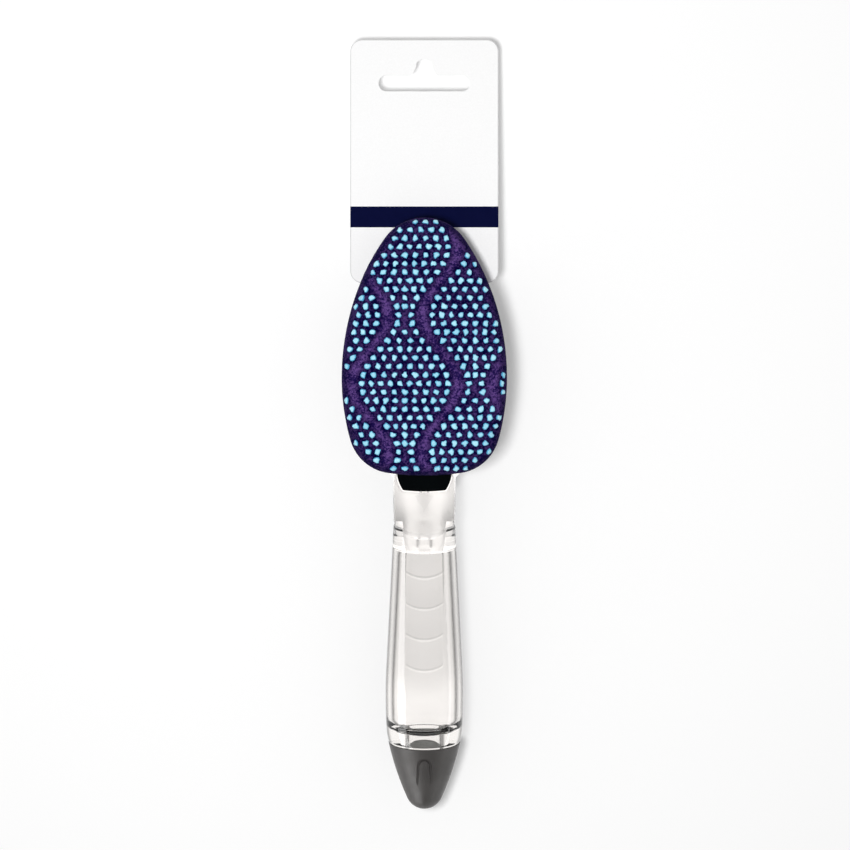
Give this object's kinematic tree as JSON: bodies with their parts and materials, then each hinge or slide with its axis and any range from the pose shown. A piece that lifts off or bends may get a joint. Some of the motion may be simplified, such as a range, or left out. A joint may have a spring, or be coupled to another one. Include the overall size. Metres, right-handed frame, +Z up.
{
  "type": "soap dispensing dish wand",
  "caption": "Dish wand with a clear soap-filled handle, screw end cap, slide-on egg-shaped scrub head with raised dots, flexing latch tab and a slotted hang card.",
  "frame": {"origin": "centre of the bounding box, on the table the wand lies on", "axes": "+Z up, out of the scrub face; +Y along the wand, from the end cap towards the head and the card; X across. The wand lies on its back, on the card's far edge and the back of the barrel"},
  "size_m": [0.0644, 0.3052, 0.0441],
  "materials": {
    "clear_plastic": "clear moulded, polished",
    "black_plastic": "black moulded, satin",
    "grey_plastic": "dark grey moulded, satin",
    "white_plastic": "natural moulded, satin",
    "silicone": "translucent silicone",
    "foam": "open-cell foam",
    "scrub_fabric": "knitted, mottled violet",
    "dot_print": "raised cured print, turquoise",
    "card": "white coated board with a plain navy stripe"
  },
  "bodies": {
    "handle": {"handle_barrel": "clear_plastic", "head_mount": "clear_plastic", "outlet_valve": "silicone", "valve_retainer": "white_plastic", "outlet_seal": "silicone"},
    "cap_washer": {"cap_seal": "silicone"},
    "cap": {"end_cap": "grey_plastic", "cap_insert": "white_plastic"},
    "head": {"base_plate": "black_plastic", "foam_core": "foam", "scrub_cover": "scrub_fabric", "scrub_dots": "dot_print", "hang_card": "card"},
    "latch": {"latch_tab": "black_plastic"}
  },
  "joints": [
    {"name": "cap_lift", "type": "slide", "parent": "handle", "child": "cap_washer", "axis": [0, -0.9991, -0.0433], "range_m": [0, 0.009]},
    {"name": "cap_twist", "type": "hinge", "parent": "cap_washer", "child": "cap", "pos_m": [0, -0.12506, 0.01485], "axis": [0, -0.9991, -0.0433], "range_deg": [0, 541]},
    {"name": "head_slide", "type": "slide", "parent": "handle", "child": "head", "axis": [0, 0.9914, -0.1309], "range_m": [0, 0.085]},
    {"name": "latch_flex", "type": "hinge", "parent": "head", "child": "latch", "pos_m": [0, -0.01113, 0.02307], "axis": [-1, 0, 0], "range_deg": [0, 6], "stiffness_Nm_per_rad": 0.08}
  ],
  "couplings": [
    {"joint": "cap_twist", "follows": "cap_lift", "rad_per_m": 1047.2}
  ]
}
